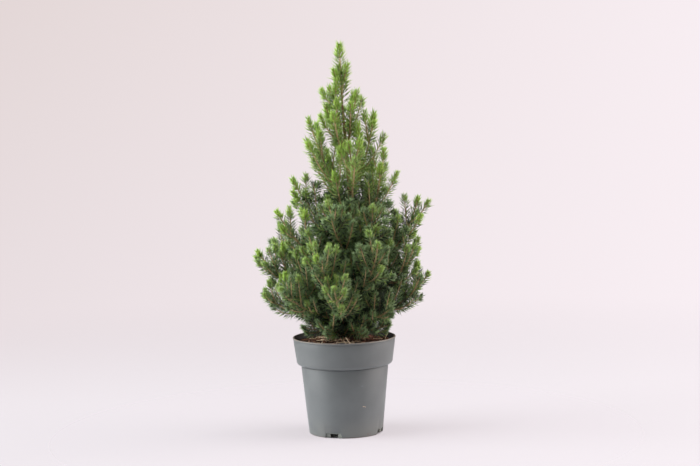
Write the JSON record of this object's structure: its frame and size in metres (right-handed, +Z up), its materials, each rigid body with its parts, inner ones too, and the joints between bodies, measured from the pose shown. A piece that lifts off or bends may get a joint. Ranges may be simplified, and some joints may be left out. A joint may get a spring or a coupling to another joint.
{
  "type": "potted dwarf alberta spruce",
  "caption": "Young cone-shaped dwarf spruce with upswept needle-covered shoots, in a round tapered plastic nursery pot with a collar.",
  "frame": {"origin": "centre of the pot's flat underside, on the surface that the pot stands on", "axes": "+Z up along the pot's axis, -Y towards the front of the plant, +X to its right"},
  "size_m": [0.2334, 0.194, 0.4937],
  "materials": {
    "pot": "grey moulded polypropylene, satin, faintly scuffed",
    "soil": "loose reddish-brown bark and coir chips, dull",
    "bark": "light brown thin bark with small pegs and scales",
    "needles": "short stiff needles, bright yellow-green at the tips of the shoots and dark blue-green inside"
  },
  "bodies": {
    "root": {"pot": "pot", "soil": "soil", "trunk": "bark", "bough_lower_1": "bark", "bough_lower_2": "bark", "bough_lower_3": "bark", "bough_lower_4": "bark", "bough_lower_5": "bark", "bough_lower_6": "bark", "bough_middle_1": "bark", "bough_middle_2": "bark", "bough_middle_3": "bark", "bough_middle_4": "bark", "bough_middle_5": "bark", "bough_shoulder_1": "bark", "bough_shoulder_2": "bark", "bough_shoulder_3": "bark", "bough_shoulder_4": "bark", "bough_skirt_1": "bark", "bough_skirt_2": "bark", "bough_skirt_3": "bark", "bough_skirt_4": "bark", "bough_skirt_5": "bark", "bough_skirt_6": "bark", "foliage_foot_1": "needles", "foliage_foot_2": "needles", "foliage_foot_3": "needles", "foliage_foot_4": "needles", "foliage_foot_5": "needles", "foliage_foot_6": "needles", "foliage_leader": "needles", "foliage_lower_1": "needles", "foliage_lower_2": "needles", "foliage_lower_3": "needles", "foliage_lower_4": "needles", "foliage_lower_5": "needles", "foliage_lower_6": "needles", "foliage_middle_1": "needles", "foliage_middle_2": "needles", "foliage_middle_3": "needles", "foliage_middle_4": "needles", "foliage_middle_5": "needles", "foliage_shoulder_1": "needles", "foliage_shoulder_2": "needles", "foliage_shoulder_3": "needles", "foliage_shoulder_4": "needles", "foliage_skirt_1": "needles", "foliage_skirt_2": "needles", "foliage_skirt_3": "needles", "foliage_skirt_4": "needles", "foliage_skirt_5": "needles", "foliage_skirt_6": "needles", "foliage_spire_1": "needles", "foliage_spire_2": "needles", "foliage_spire_3": "needles", "foliage_spire_4": "needles", "foliage_spire_5": "needles", "foliage_spire_6": "needles", "foliage_spire_7": "needles"}
  },
  "joints": []
}
